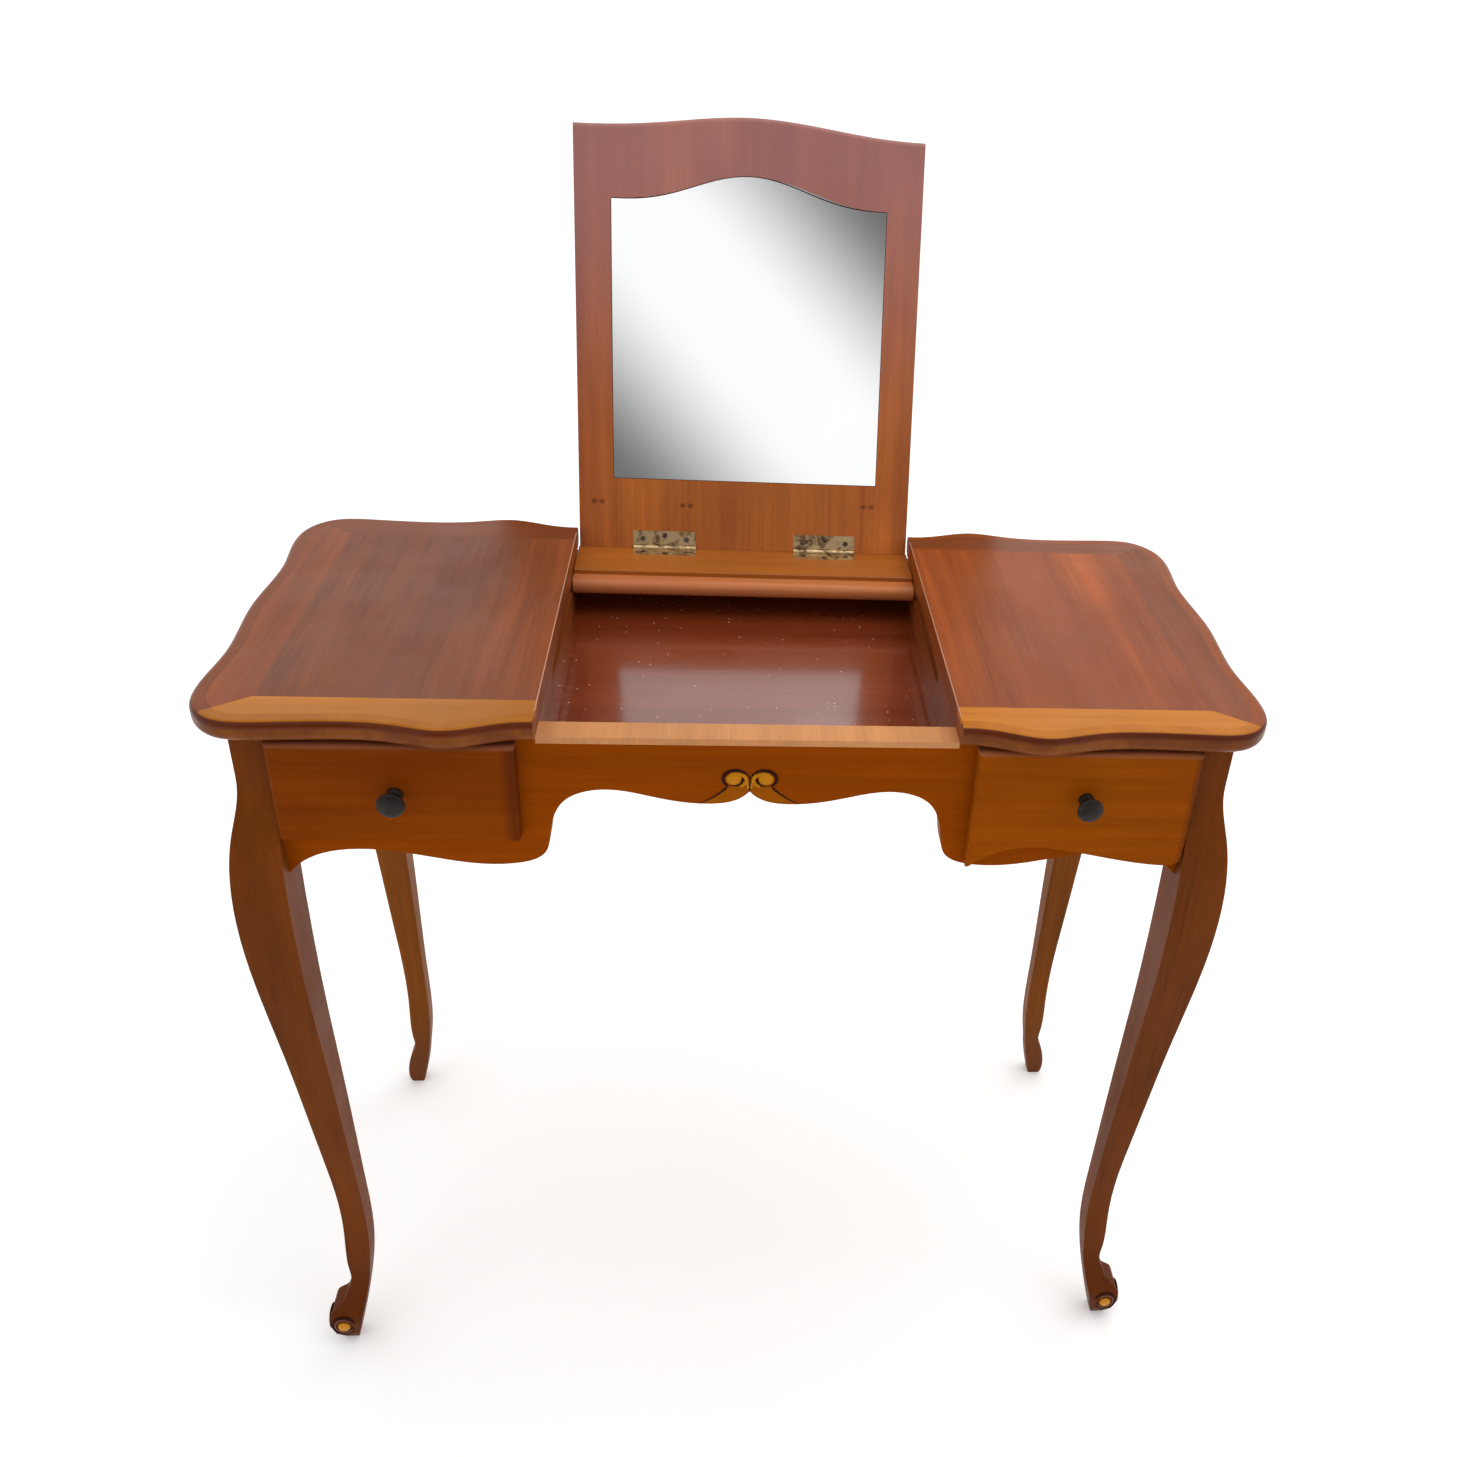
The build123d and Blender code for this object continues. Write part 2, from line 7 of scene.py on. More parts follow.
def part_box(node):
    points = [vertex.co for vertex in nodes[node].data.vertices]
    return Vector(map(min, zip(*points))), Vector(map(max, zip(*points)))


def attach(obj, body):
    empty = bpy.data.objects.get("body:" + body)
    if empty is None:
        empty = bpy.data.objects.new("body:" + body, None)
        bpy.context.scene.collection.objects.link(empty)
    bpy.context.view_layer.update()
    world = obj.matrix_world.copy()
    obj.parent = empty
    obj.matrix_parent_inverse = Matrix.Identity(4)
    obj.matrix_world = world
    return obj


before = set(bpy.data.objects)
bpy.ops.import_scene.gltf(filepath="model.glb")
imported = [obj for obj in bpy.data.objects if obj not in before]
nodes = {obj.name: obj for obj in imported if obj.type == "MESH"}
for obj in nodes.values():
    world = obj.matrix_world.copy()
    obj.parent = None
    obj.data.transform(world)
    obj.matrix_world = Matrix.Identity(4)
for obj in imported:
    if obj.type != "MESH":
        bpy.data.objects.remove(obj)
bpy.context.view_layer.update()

scene = bpy.context.scene
scene.view_settings.view_transform = "Standard"


# ---------------------------------------------------------------- places, in metres

def corners(node):
    """The low and the high corner of a CAD node's box."""
    return [Vector(corner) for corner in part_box(node)]


FRONT_Y = corners("apron_front")[0].y
PLAN_Y = (FRONT_Y + corners("apron_back")[1].y) / 2      # the middle of the case, front to back
LID_LOW, LID_HIGH = corners("lid_panel")
PIN_LOW, PIN_HIGH = corners("hinge_pin_left")
HINGE_Z = ((PIN_LOW + PIN_HIGH) / 2).z
LID_LEAN = math.radians(15)                   # how far the open lid leans back
INTO_LID = Vector((0, math.cos(LID_LEAN), -math.sin(LID_LEAN)))      # square to the mirror


def lid_point(x, up):
    """A point of the open lid's inner face, up from the hinge line."""
    return (x, LID_LOW.y + up * math.sin(LID_LEAN), HINGE_Z + up * math.cos(LID_LEAN))


# ---------------------------------------------------------------- material building blocks

class Tree:
    """A material's node tree, with short ways to add and join nodes."""

    def __init__(self, name, material=None):
        self.material = material or bpy.data.materials.new(name)
        self.material.use_nodes = True
        self.nodes = self.material.node_tree.nodes
        self.links = self.material.node_tree.links
        self.shader = self.nodes["Principled BSDF"]
        self.place = self.nodes.new("ShaderNodeTexCoord").outputs["Object"]

    def put(self, socket, value):
        """Gives a socket a constant, or joins it to another socket."""
        if isinstance(value, bpy.types.NodeSocket):
            self.links.new(value, socket)
        else:
            socket.default_value = value

    def mapped(self, scale=(1, 1, 1), rotation=(0, 0, 0), source=None):
        node = self.nodes.new("ShaderNodeMapping")
        self.put(node.inputs["Vector"], source or self.place)
        node.inputs["Rotation"].default_value = rotation
        node.inputs["Scale"].default_value = scale
        return node.outputs[0]

    def noise(self, vector, scale=1.0, detail=3.0, roughness=0.5, distortion=0.0):
        node = self.nodes.new("ShaderNodeTexNoise")
        self.put(node.inputs["Vector"], vector)
        node.inputs["Scale"].default_value = scale
        node.inputs["Detail"].default_value = detail
        node.inputs["Roughness"].default_value = roughness
        node.inputs["Distortion"].default_value = distortion
        return node.outputs[0]

    def math(self, operation, a, b=0.0):
        node = self.nodes.new("ShaderNodeMath")
        node.operation = operation
        self.put(node.inputs[0], a)
        self.put(node.inputs[1], b)
        return node.outputs[0]

    def vector(self, operation, a, b=(0, 0, 0)):
        node = self.nodes.new("ShaderNodeVectorMath")
        node.operation = operation
        self.put(node.inputs[0], a)
        self.put(node.inputs[1], b)
        return node.outputs["Value" if operation in ("LENGTH", "DOT_PRODUCT") else "Vector"]

    def between(self, value, low, high, to_low=0.0, to_high=1.0):
        """Runs smoothly from to_low to to_high while the value runs from low to high."""
        node = self.nodes.new("ShaderNodeMapRange")
        node.interpolation_type = "SMOOTHSTEP"
        for socket, number in zip(node.inputs, (value, low, high, to_low, to_high)):
            self.put(socket, number)
        return node.outputs[0]

    def ramp(self, value, stops):
        node = self.nodes.new("ShaderNodeValToRGB")
        self.put(node.inputs[0], value)
        ramp = node.color_ramp
        while len(ramp.elements) < len(stops):
            ramp.elements.new(0.5)
        for element, (position, colour) in zip(ramp.elements, stops):
            element.position = position
            element.color = (*colour, 1)
        return node.outputs[0]

    def mix(self, factor, a, b):
        node = self.nodes.new("ShaderNodeMix")
        node.data_type = "RGBA"
        colours = [s for s in node.inputs if s.type == "RGBA"]
        self.put(node.inputs["Factor"], factor)
        for socket, colour in zip(colours, (a, b)):
            self.put(socket, (*colour, 1) if isinstance(colour, tuple) else colour)
        return [s for s in node.outputs if s.type == "RGBA"][0]

    def bump(self, height, distance):
        node = self.nodes.new("ShaderNodeBump")
        self.put(node.inputs["Height"], height)
        node.inputs["Distance"].default_value = distance
        self.put(self.shader.inputs["Normal"], node.outputs[0])

    def axis(self, index, source=None):
        """One coordinate, 0 to 2 for x to z."""
        node = self.nodes.new("ShaderNodeSeparateXYZ")
        self.put(node.inputs[0], source or self.place)
        return node.outputs[index]


def tone(colour, factor):
    """The colour, lighter or darker."""
    return tuple(min(1.0, c * factor) for c in colour)


def wood(name, colour, grain="y", turn=0.0, contrast=1.0, gloss=0.32, coat=0.0, fine=1.0,
         knots=(), shades=(), specks=0.0, seed=0.0, second=None, sheen=0.25, relief=0.00012):
    """Varnished wood. grain is the axis that the fibres follow, and turn leans that axis about X.
    gloss is the lowest roughness, coat a clear layer on top, sheen the specular level and relief
    the height of the grain. contrast spreads the tones and fine narrows the fibres.
    second is a colour in long patches. knots are (centre, size). shades are (axis, low, high,
    colour): changes of colour along an axis. specks is how strongly dust shows."""
    t = Tree(name)
    leaned = t.mapped(rotation=(turn, 0, 0))
    base = t.vector("ADD", leaned, (seed * 1.7, seed * 0.9, seed * 2.3))
    along = "xyz".index(grain)

    def stretched(across, lengthways):
        scale = [across] * 3
        scale[along] = lengthways
        return t.mapped(scale=scale, source=base)

    figure = t.noise(stretched(11, 1.1), 1.0, 5, 0.55, 0.9)
    streaks = t.noise(stretched(85, 2.2), 1.0, 4, 0.6, 0.2)
    fibres = t.noise(stretched(420 * fine, 9), 1.0, 3, 0.6)
    pores = t.noise(stretched(1500 * fine, 55), 1.0, 2, 0.5)
    clouds = t.noise(base, 6.0, 3, 0.5)
    total = t.math("MULTIPLY", figure, 0.42)
    for part, weight in ((streaks, 0.26), (fibres, 0.16), (clouds, 0.16)):
        total = t.math("ADD", total, t.math("MULTIPLY", part, weight))
    spread = 0.16 / contrast
    tint = t.ramp(total, [(0.5 + share * spread, tone(colour, factor)) for share, factor in
                          ((-1, 0.55), (-0.3, 0.88), (0.3, 1.08), (1, 1.42))])
    if second:
        patch = t.between(t.noise(stretched(7, 2.0), 1.0, 3, 0.5, 0.5), 0.42, 0.62)
        tint = t.mix(t.math("MULTIPLY", patch, 0.55), tint, second)
    tint = t.mix(t.between(pores, 0.62, 0.72, 0.0, 0.35), tint, tone(colour, 0.35))
    for axis, low, high, other in shades:
        amount = t.between(t.axis("xyz".index(axis)), low, high, 0.0, 0.8)
        tint = t.mix(amount, tint, t.mix(0.3, other, tint))
    for centre, size in knots:
        away = t.mapped(scale=(0.75, 1, 1), source=t.vector("SUBTRACT", t.place, centre))
        wobble = t.math("MULTIPLY", t.math("SUBTRACT", streaks, 0.5), size)
        ragged = t.math("ADD", t.vector("LENGTH", away), wobble)
        tint = t.mix(t.between(ragged, size * 0.3, size * 1.6, 0.75, 0.0), tint, tone(colour, 0.22))
    if specks:
        cells = t.nodes.new("ShaderNodeTexVoronoi")
        t.put(cells.inputs["Vector"], t.place)
        cells.inputs["Scale"].default_value = 190
        dot = t.between(cells.outputs["Distance"], 0.08, 0.19, 1.0, 0.0)
        chosen = t.between(t.axis(0, cells.outputs["Color"]), 0.88, 0.91)
        amount = t.math("MULTIPLY", t.math("MULTIPLY", dot, chosen), specks)
        tint = t.mix(amount, tint, DUST)
    t.put(t.shader.inputs["Base Color"], tint)
    t.put(t.shader.inputs["Roughness"], t.between(t.noise(base, 14.0, 4, 0.6), 0.3, 0.7, gloss, gloss + 0.12))
    t.shader.inputs["Specular IOR Level"].default_value = sheen
    t.shader.inputs["Coat Weight"].default_value = coat
    t.shader.inputs["Coat Roughness"].default_value = 0.12
    t.shader.inputs["Coat IOR"].default_value = 1.9
    t.bump(t.math("ADD", fibres, t.math("MULTIPLY", streaks, 0.6)), relief)
    return t.material


def metal(name, bright, dull, roughness, patina, scale=90.0, metallic=1.0):
    """Worn metal: patina is how much of the surface the dull colour covers."""
    t = Tree(name)
    blotch = t.noise(t.place, scale, 6, 0.65, 0.4)
    scratches = t.noise(t.mapped(scale=(300, 2200, 2200)), 1.0, 3, 0.5)
    cover = t.between(t.math("ADD", blotch, t.math("MULTIPLY", t.math("SUBTRACT", scratches, 0.5), 0.35)),
                      0.62 - patina * 0.35, 0.72 - patina * 0.2)
    t.put(t.shader.inputs["Base Color"], t.mix(cover, bright, dull))
    t.shader.inputs["Metallic"].default_value = metallic
    t.shader.inputs["Specular IOR Level"].default_value = 0.25
    t.put(t.shader.inputs["Roughness"], t.between(blotch, 0.3, 0.7, roughness, roughness + 0.2))
    t.bump(blotch, 0.00015)
    return t.material


def silvered_glass():
    """The mirror, with a faint film that varies its roughness."""
    t = Tree("silvered_glass")
    film = t.noise(t.place, 9.0, 4, 0.6, 0.5)
    t.put(t.shader.inputs["Base Color"], t.mix(film, (0.93, 0.935, 0.94), (0.97, 0.97, 0.97)))
    t.shader.inputs["Metallic"].default_value = 1.0
    t.put(t.shader.inputs["Roughness"], t.between(film, 0.3, 0.75, 0.004, 0.02))
    return t.material


# ---------------------------------------------------------------- materials of the CAD nodes

FRAME_RED = (0.262, 0.050, 0.0004)
TOP_BROWN = (0.188, 0.046, 0.010)
TOP_RED = (0.285, 0.060, 0.006)
BAND_GOLD = (0.375, 0.122, 0.004)
BAND_BRIGHT = (0.48, 0.152, 0.004)
EDGE_DARK = (0.095, 0.015, 0.001)
LID_ORANGE = (0.43, 0.120, 0.018)
# The plum colour below is a painted reflection, mixed into the lid's colour towards its top.
LID_PLUM_REFLECTION = (0.30, 0.165, 0.195)
TRAY_RED = (0.185, 0.032, 0.008)
LEG_BROWN = (0.145, 0.034, 0.0025)
RAW_WOOD = (0.50, 0.33, 0.17)
DUST = (0.75, 0.62, 0.5)

BAND_X, BAND_Y = 0.387, 0.165                 # inner corner of the mitre, from the table's middle
MITRE_SLOPE = 0.75
FLAT_LOW, FLAT_HIGH = 0.7488, 0.7496          # where the edge's rounding meets its flat top
# The lower half of each leaf edge's rounding is painted lighter and warmer, a painted light.
LIT_LOW, LIT_HIGH = 0.7415, 0.7465          # the warmer lower half of the rounding
# A drawer's pale top strip is a painted highlight along its top bevel.
DRAWER_HIGHLIGHT_LOW, DRAWER_HIGHLIGHT_HIGH = 0.7235, 0.7262      # the pale strip along a drawer's top


def moulded_edge(name, side_colour, front_colour, seed):
    """Dark rounded moulding, whose flat top continues the mitred bands beside it; the lower half of its
    rounding has painted light, lighter and warmer than the dark upper arris.
    """
    material = wood(name, EDGE_DARK, "x", seed=seed, gloss=0.25, sheen=0.14)
    t = Tree(name, material)
    dark = t.shader.inputs["Base Color"].links[0].from_socket
    wide = t.math("ABSOLUTE", t.axis(0))
    ahead = t.math("SUBTRACT", PLAN_Y - BAND_Y, t.axis(1))
    slope = t.math("MULTIPLY", t.math("SUBTRACT", wide, BAND_X), MITRE_SLOPE)
    mitre = t.math("SUBTRACT", ahead, slope)
    flat = t.mix(t.between(mitre, -0.0005, 0.0005), side_colour, front_colour)
    streak = t.noise(t.mapped(scale=(40, 40, 40)), 1.0, 4, 0.6)
    flat = t.mix(t.between(streak, 0.3, 0.7, 0.0, 0.25), flat, tone(EDGE_DARK, 1.5))
    # Painted light: the lower half of the rounding is lighter and warmer.
    lit_lower_half = t.mix(t.between(streak, 0.35, 0.65), (0.23, 0.062, 0.004), (0.15, 0.034, 0.002))
    rounding = t.mix(t.between(t.axis(2), LIT_LOW, LIT_HIGH, 0.85, 0.0), dark, lit_lower_half)
    t.put(t.shader.inputs["Base Color"],
          t.mix(t.between(t.axis(2), FLAT_LOW, FLAT_HIGH), rounding, flat))
    return material


LID_KNOTS = [(lid_point(x + step, up), 0.0021)
             for x, up in ((-0.149, 0.046), (-0.060, 0.044), (0.126, 0.048)) for step in (-0.004, 0.004)]


def lid_wood():
    """The lid's colours on the mirror side, with a painted plum reflection towards its top, and the leaves'
    tones on its outside.
    """
    material = wood("lid_cherry", LID_ORANGE, "z", turn=LID_LEAN, seed=9.4, contrast=1.2, gloss=0.36,
                    knots=LID_KNOTS, shades=[("z", 0.80, 1.10, LID_PLUM_REFLECTION)], second=(0.24, 0.048, 0.014))
    t = Tree("lid_cherry", material)
    inner = t.shader.inputs["Base Color"].links[0].from_socket
    depth = t.vector("DOT_PRODUCT", t.vector("SUBTRACT", t.place, lid_point(0, 0)), INTO_LID)
    streak = t.noise(t.mapped(scale=(60, 5, 5)), 1.0, 5, 0.55, 0.5)
    outer = t.mix(t.between(streak, 0.3, 0.7), (0.16, 0.034, 0.005), (0.28, 0.066, 0.010))
    t.put(t.shader.inputs["Base Color"], t.mix(t.between(depth, 0.001, 0.004), inner, outer))
    return material


FINISHES = {
    "leaf_left": wood("leaf_cherry_left", TOP_BROWN, "y", seed=1.3, contrast=1.35, gloss=0.36,
                      second=(0.14, 0.036, 0.010)),
    "leaf_right": wood("leaf_cherry_right", TOP_RED, "y", seed=4.1, contrast=1.35, gloss=0.36,
                       second=(0.20, 0.038, 0.004)),
    "apron": wood("apron_cherry", FRAME_RED, "x", seed=2.2, contrast=0.75, sheen=0.01),
    "apron_side": wood("apron_cherry_side", FRAME_RED, "y", seed=2.6, contrast=0.75, sheen=0.04),
    # Each drawer front is darker in a strip along its right edge, and its pale top strip is a painted
    # highlight.
    "drawer_left": wood("drawer_cherry_left", (0.215, 0.041, 0.0004), "x", seed=3.4, contrast=1.2,
                        second=(0.15, 0.028, 0.0004), sheen=0.02,
                        shades=[("x", -0.200, -0.188, (0.05, 0.008, 0.003)),
                                ("z", DRAWER_HIGHLIGHT_LOW, DRAWER_HIGHLIGHT_HIGH, (0.30, 0.105, 0.055))]),
    "drawer_right": wood("drawer_cherry_right", (0.285, 0.062, 0.0004), "x", seed=3.9, contrast=0.9,
                         second=(0.20, 0.040, 0.0004), sheen=0.02,
                         shades=[("x", 0.366, 0.3735, (0.06, 0.010, 0.003)),
                                 ("z", DRAWER_HIGHLIGHT_LOW, DRAWER_HIGHLIGHT_HIGH, (0.32, 0.12, 0.06))]),
    "leg": wood("leg_cherry", LEG_BROWN, "z", seed=5.0, contrast=1.1, gloss=0.4, fine=0.8, sheen=0.05,
                shades=[("z", 0.16, 0.02, (0.075, 0.014, 0.004))]),
    "leg_back": wood("leg_cherry_back", (0.185, 0.052, 0.006), "z", seed=5.4, contrast=1.1, gloss=0.4,
                     fine=0.8, sheen=0.05, shades=[("z", 0.16, 0.02, (0.10, 0.025, 0.006))]),
    "edge_left": moulded_edge("edge_left", TOP_BROWN, BAND_GOLD, 6.2),
    "edge_right": moulded_edge("edge_right", (0.26, 0.058, 0.008), BAND_BRIGHT, 6.6),
    "band_x": wood("band_cherry_across", BAND_GOLD, "x", seed=7.5, contrast=0.8, gloss=0.34),
    "band_right": wood("band_cherry_right", BAND_BRIGHT, "x", seed=7.9, contrast=0.8, gloss=0.34),
    "band_back": wood("band_cherry_back", (0.18, 0.042, 0.008), "x", seed=8.6, contrast=0.9, gloss=0.34),
    "band_y": wood("band_cherry_lengthways", (0.21, 0.046, 0.006), "y", seed=8.1, gloss=0.36),
    "lid": lid_wood(),
    "tray": wood("tray_mahogany", TRAY_RED, "x", seed=10.7, contrast=0.9, gloss=0.2, coat=0.9,
                 specks=0.85, relief=0.000006),
    "rail": wood("rail_cap_cherry", (0.54, 0.23, 0.08), "y", seed=11.2, contrast=0.8, gloss=0.32),
    "ledge": wood("ledge_cherry", (0.39, 0.112, 0.010), "x", seed=12.0, contrast=1.0,
                  second=(0.33, 0.095, 0.02)),
    "nose": wood("carriage_cherry", (0.47, 0.150, 0.045), "x", seed=12.4, contrast=1.0,
                 second=(0.42, 0.13, 0.05)),
    "well": wood("well_cherry", (0.22, 0.05, 0.008), "y", seed=13.1, contrast=1.1),
    "raw": wood("drawer_linden", RAW_WOOD, "y", seed=14.3, contrast=0.6, gloss=0.55),
    "brass": metal("old_brass", (0.60, 0.44, 0.24), (0.17, 0.10, 0.05), 0.34, 0.45),
    "bronze": metal("dark_bronze", (0.024, 0.016, 0.013), (0.010, 0.007, 0.006), 0.36, 0.7, 60.0, 0.3),
    "steel": metal("screw_steel", (0.22, 0.18, 0.14), (0.05, 0.035, 0.025), 0.4, 0.6, 400.0),
    "glass": silvered_glass(),
}
# The first entry whose start fits a node's name gives its finish; the last one fits every name.
FINISH_BY_START = [
    ("leaf_edge_left", "edge_left"), ("leaf_edge", "edge_right"), ("leaf_left", "leaf_left"),
    ("leaf_right", "leaf_right"), ("leg_rear", "leg_back"), ("leg_", "leg"),
    ("apron_left", "apron_side"), ("apron_right", "apron_side"), ("apron_", "apron"),
    ("band_side", "band_y"), ("band_back", "band_back"), ("band_front_right", "band_right"),
    ("band_", "band_x"), ("lid_band", "band_x"), ("lid_panel", "lid"),
    ("drawer_front_left", "drawer_left"), ("drawer_front", "drawer_right"), ("tray_floor", "tray"),
    ("rail_cap", "rail"), ("carriage_board", "nose"), ("hinge_ledge", "ledge"),
    ("well_wall", "well"), ("mirror_glass", "glass"), ("hinge_screws", "steel"),
    ("hinge_", "brass"), ("knob_screw", "steel"), ("knob_", "bronze"), ("", "raw"),
]
for name, node in nodes.items():
    finish = next(f for start, f in FINISH_BY_START if name.startswith(start))
    node.data.materials.clear()
    node.data.materials.append(FINISHES[finish])


# ---------------------------------------------------------------- carved and fitted details

def fitted(name, data, material, body):
    """An added piece with its material and body."""
    data.materials.append(material)
    piece = bpy.data.objects.new(name, data)
    scene.collection.objects.link(piece)
    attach(piece, body)


def swept(name, points, radius, material, body, tip=None):
    """A rounded bead along points; tip gives each point's share of the full radius."""
    curve = bpy.data.curves.new(name, "CURVE")
    curve.dimensions = "3D"
    curve.bevel_depth = radius
    curve.bevel_resolution = 3
    spline = curve.splines.new("POLY")
    spline.points.add(len(points) - 1)
    for index, (target, point) in enumerate(zip(spline.points, points)):
        target.co = (*point, 1)
        target.radius = tip(index / (len(points) - 1)) if tip else 1.0
    fitted(name, curve, material, body)


def ring_faces(start, count):
    """Quads between a ring of count points from start and the ring after it."""
    return [(start + i, start + (i + 1) % count, start + (i + 1) % count + count, start + i + count)
            for i in range(count)]


def boss(name, centre, radii, material, body):
    """A flattened dome, sunk to its middle in the surface."""
    rings, around = 8, 28
    points = []
    for i in range(rings + 1):
        rise = math.pi * i / rings
        for j in range(around):
            turn = 2 * math.pi * j / around
            points.append((centre[0] + radii[0] * math.sin(rise) * math.cos(turn),
                           centre[1] + radii[1] * math.cos(rise),
                           centre[2] + radii[2] * math.sin(rise) * math.sin(turn)))
    faces = [face for i in range(rings) for face in ring_faces(i * around, around)]
    mesh = bpy.data.meshes.new(name)
    mesh.from_pydata(points, [], faces)
    mesh.shade_smooth()
    fitted(name, mesh, material, body)


def oval(centre, radii, start, stop, steps=40, shrink=0.0):
    """Points on an upright oval in the plane of the front; shrink draws the end inwards."""
    points = []
    for i in range(steps + 1):
        share = i / steps
        angle = math.radians(start + (stop - start) * share)
        size = 1 - shrink * share
        points.append((centre[0] + radii[0] * size * math.cos(angle), centre[1],
                       centre[2] + radii[1] * size * math.sin(angle)))
    return points


# The carving is coloured with painted light and shade: the lighter raised band, stem and bosses and the
# bright toe buttons are a painted highlight, the dark cuts a painted shade, and the pale rim inside each toe
# scroll a painted highlight. The same dark also draws the painted shadow along the mirror.
raised_highlight = wood("carved_raised_highlight", (0.50, 0.185, 0.004), "x", seed=15.0, contrast=0.7, sheen=0.06)
leafage = wood("carved_leaf", (0.32, 0.082, 0.001), "x", seed=15.3, contrast=0.7, sheen=0.02)
painted_shade = wood("dark_painted_shade", (0.028, 0.006, 0.004), "x", seed=15.5, contrast=0.8, gloss=0.45, sheen=0.06)
button = wood("carved_button", (0.50, 0.21, 0.012), "x", seed=15.9, contrast=0.9, sheen=0.15)
rim_light = wood("carved_rim", (0.17, 0.06, 0.03), "x", seed=16.3, contrast=0.8, sheen=0.3)

# The double volute on the front rail: two scrolls back to back over the cusp, each with a stem
# beside the middle line and a leaf that runs out along the rail's lower edge. The points are the
# right half's (x, z).
SCROLL_X, SCROLL_Z = 0.0116, 0.6935
TAIL = [(0.0185, 0.6854), (0.0240, 0.6800), (0.0306, 0.6750), (0.0365, 0.6713), (0.0409, 0.6696)]
LEAF = [(0.0006, 0.6830), (0.0040, 0.6790), (0.0110, 0.6738), (0.0200, 0.6708), (0.0300, 0.6697)]
LEAF_HEAD = (0.0006, SCROLL_Z)
STEM = [(0.0013, 0.6850), (0.0018, 0.6885), (0.0022, 0.6920), (0.0031, 0.6955), (0.0050, 0.6985)]
MIDDLE_TOP, MIDDLE_FOOT = 0.6965, 0.6825
for side, label in ((-1, "left"), (1, "right")):
    def flip(points):
        """The right half's points, or the same mirrored for the left half."""
        return [(side * x, y, z) for x, y, z in points]

    def on_front(line, proud):
        """The (x, z) points of this half, proud of the rail's face."""
        return [(side * x, FRONT_Y - proud, z) for x, z in line]

    plate = on_front(TAIL + LEAF[::-1] + [LEAF_HEAD], 0.0004)
    count = len(plate)
    mesh = bpy.data.meshes.new(f"carved_leaf_{label}")
    mesh.from_pydata(plate + [(x, FRONT_Y + 0.001, z) for x, _, z in plate], [],
                     [tuple(range(count))] + ring_faces(0, count))
    fitted(f"carved_leaf_{label}", mesh, leafage, "table")

    ring = oval((SCROLL_X, FRONT_Y + 0.0002, SCROLL_Z), (0.0103, 0.0084), 158, -52)
    swept(f"carved_ring_{label}", flip(ring), 0.0012, painted_shade, "table",
          tip=lambda s: 0.75 + 0.5 * math.sin(math.pi * s))
    band_centre = (SCROLL_X + 0.0002, FRONT_Y - 0.0001, SCROLL_Z - 0.0006)
    band = oval(band_centre, (0.0092, 0.0066), 245, 60, shrink=0.12)
    swept(f"carved_band_{label}", flip(band), 0.0016, raised_highlight, "table")
    swept(f"carved_stem_{label}", on_front(STEM, 0.0001), 0.0011, raised_highlight, "table")
    heart = (side * (SCROLL_X + 0.0012), FRONT_Y - 0.0002, SCROLL_Z + 0.0002)
    boss(f"carved_boss_{label}", heart, (0.0066, 0.0016, 0.0060), raised_highlight, "table")
    hook = oval((SCROLL_X + 0.0010, FRONT_Y - 0.0010, SCROLL_Z + 0.0002), (0.0066, 0.0064), 176, 300)
    swept(f"carved_hook_{label}", flip(hook), 0.0009, painted_shade, "table",
          tip=lambda s: 1.15 - s)
    swept(f"carved_tail_{label}", on_front(TAIL, 0.0002), 0.0007, painted_shade, "table",
          tip=lambda s: 1.3 - s)
swept("carved_middle", [(0, FRONT_Y - 0.0004, MIDDLE_TOP), (0, FRONT_Y - 0.0004, MIDDLE_FOOT)], 0.0006,
      painted_shade, "table")

# Scrolls on the toes of the front feet, on the front and on the outer side.
TOE_IN, TOE_UP, TOE_SUNK = 0.0175, 0.029, 0.0040      # the scroll's middle, from the foot's corner
BUTTON_UP, BUTTON_WIDE, BUTTON_DEEP = 0.0275, 0.0062, 0.0026
for side, label in ((-1, "left"), (1, "right")):
    low, high = corners(f"leg_front_{label}")
    toe_x = high.x if side > 0 else low.x
    for face in ("front", "outer"):
        def placed(points):
            """The front view's points, or the same turned to the outer side of the foot."""
            if face == "front":
                return [(toe_x - side * u, low.y + d, z) for u, d, z in points]
            return [(toe_x - side * d, low.y + u, z) for u, d, z in points]

        tag = f"{label}_{face}"
        scroll = (TOE_IN, TOE_SUNK, TOE_UP)
        swept(f"toe_ring_{tag}", placed(oval(scroll, (0.0118, 0.0128), 20, 320, shrink=0.1)),
              0.0011, painted_shade, "table")
        swept(f"toe_rim_{tag}", placed(oval(scroll, (0.0095, 0.0105), 330, 40, shrink=0.15)),
              0.0008, rim_light, "table")
        heart = placed([(TOE_IN, TOE_SUNK, BUTTON_UP)])[0]
        radii = ((BUTTON_WIDE, BUTTON_DEEP, BUTTON_WIDE) if face == "front"
                 else (BUTTON_DEEP, BUTTON_WIDE, BUTTON_WIDE))
        boss(f"toe_button_{tag}", heart, radii, button, "table")

# A thin pale line runs along the leaves' arrises beside the well.
WELL_X, ARRIS_Z, ARRIS_SHORT = 0.1701, 0.7498, 0.02
pale_arris = wood("pale_arris_line", (0.50, 0.24, 0.15), "y", seed=17.0, contrast=1.2, sheen=0.2)
for side, label in ((-1, "left"), (1, "right")):
    low, high = corners(f"leaf_{label}")
    ends = [(side * WELL_X, y, ARRIS_Z) for y in (low.y + ARRIS_SHORT, high.y - ARRIS_SHORT)]
    swept(f"pale_arris_line_{label}", ends, 0.0005, pale_arris, "table")
